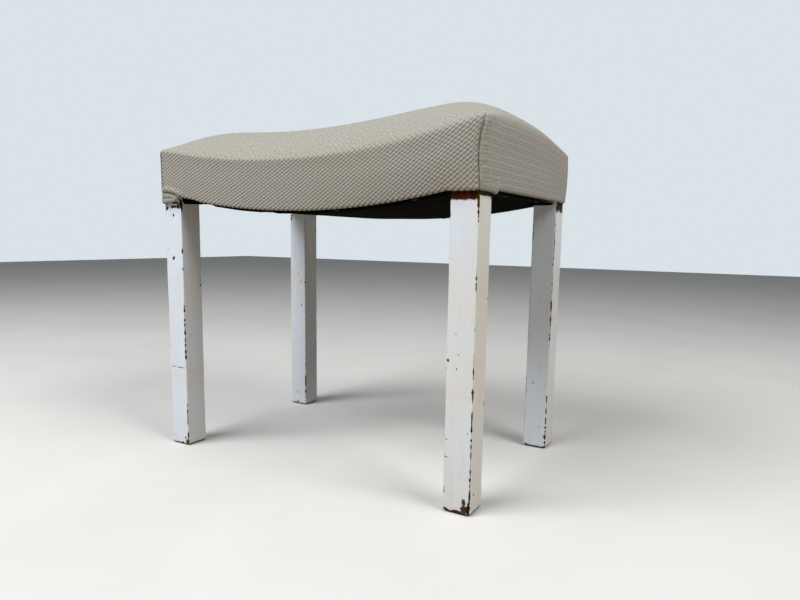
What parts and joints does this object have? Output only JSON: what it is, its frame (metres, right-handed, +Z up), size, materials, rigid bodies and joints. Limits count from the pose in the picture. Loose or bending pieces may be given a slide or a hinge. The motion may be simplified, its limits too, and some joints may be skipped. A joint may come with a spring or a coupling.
{
  "type": "upholstered footstool",
  "caption": "Upholstered footstool with a dished, crowned seat in bobble-weave cloth on plain square legs in chipped old paint, with a dowelled frame, webbing and a black dust cover.",
  "frame": {"origin": "on the floor, under the middle of the seat", "axes": "+X along the stool to its right end, +Y to the back, +Z up; the front faces -Y"},
  "size_m": [0.4824, 0.3094, 0.4503],
  "materials": {
    "leg_paint": "old off-white gloss paint, brushed on, chipped to dark brown wood along the arrises",
    "frame_wood": "sawn hardwood, unfinished",
    "dowel_wood": "fluted beech, unfinished",
    "seat_fabric": "beige-grey bobble weave upholstery cloth, matt",
    "cotton_wadding": "soft cotton wadding",
    "fibre_stuffing": "curled fibre stuffing",
    "hessian": "open plain-weave jute cloth",
    "jute_webbing": "tight herringbone jute webbing",
    "black_cloth": "thin matt black cotton",
    "screw_steel": "dull bright steel",
    "blued_steel": "blued cut tacks"
  },
  "bodies": {
    "root": {"leg_front_left": "leg_paint", "leg_back_left": "leg_paint", "leg_front_right": "leg_paint", "leg_back_right": "leg_paint", "rail_front": "frame_wood", "rail_back": "frame_wood", "rail_left_end": "frame_wood", "rail_right_end": "frame_wood", "corner_block_front_left": "frame_wood", "corner_block_back_left": "frame_wood", "corner_block_front_right": "frame_wood", "corner_block_back_right": "frame_wood", "block_screw_front_left_long": "screw_steel", "block_screw_front_left_end": "screw_steel", "block_screw_back_left_long": "screw_steel", "block_screw_back_left_end": "screw_steel", "block_screw_front_right_long": "screw_steel", "block_screw_front_right_end": "screw_steel", "block_screw_back_right_long": "screw_steel", "block_screw_back_right_end": "screw_steel", "dowel_front_left_long_lower": "dowel_wood", "dowel_front_left_long_upper": "dowel_wood", "dowel_front_left_end_lower": "dowel_wood", "dowel_front_left_end_upper": "dowel_wood", "dowel_back_left_long_lower": "dowel_wood", "dowel_back_left_long_upper": "dowel_wood", "dowel_back_left_end_lower": "dowel_wood", "dowel_back_left_end_upper": "dowel_wood", "dowel_front_right_long_lower": "dowel_wood", "dowel_front_right_long_upper": "dowel_wood", "dowel_front_right_end_lower": "dowel_wood", "dowel_front_right_end_upper": "dowel_wood", "dowel_back_right_long_lower": "dowel_wood", "dowel_back_right_long_upper": "dowel_wood", "dowel_back_right_end_lower": "dowel_wood", "dowel_back_right_end_upper": "dowel_wood", "web_cross_1": "jute_webbing", "web_cross_2": "jute_webbing", "web_cross_3": "jute_webbing", "web_cross_4": "jute_webbing", "web_long_front": "jute_webbing", "web_long_back": "jute_webbing", "hessian_base": "hessian", "stuffing_pad": "fibre_stuffing", "wadding_layer": "cotton_wadding", "seat_cover": "seat_fabric", "dust_cover": "black_cloth", "dust_tack_back_1": "blued_steel", "dust_tack_back_2": "blued_steel", "dust_tack_back_3": "blued_steel", "dust_tack_back_4": "blued_steel", "dust_tack_front_1": "blued_steel", "dust_tack_front_2": "blued_steel", "dust_tack_front_3": "blued_steel", "dust_tack_front_4": "blued_steel", "dust_tack_right_1": "blued_steel", "dust_tack_right_2": "blued_steel", "dust_tack_left_1": "blued_steel", "dust_tack_left_2": "blued_steel"}
  },
  "joints": []
}
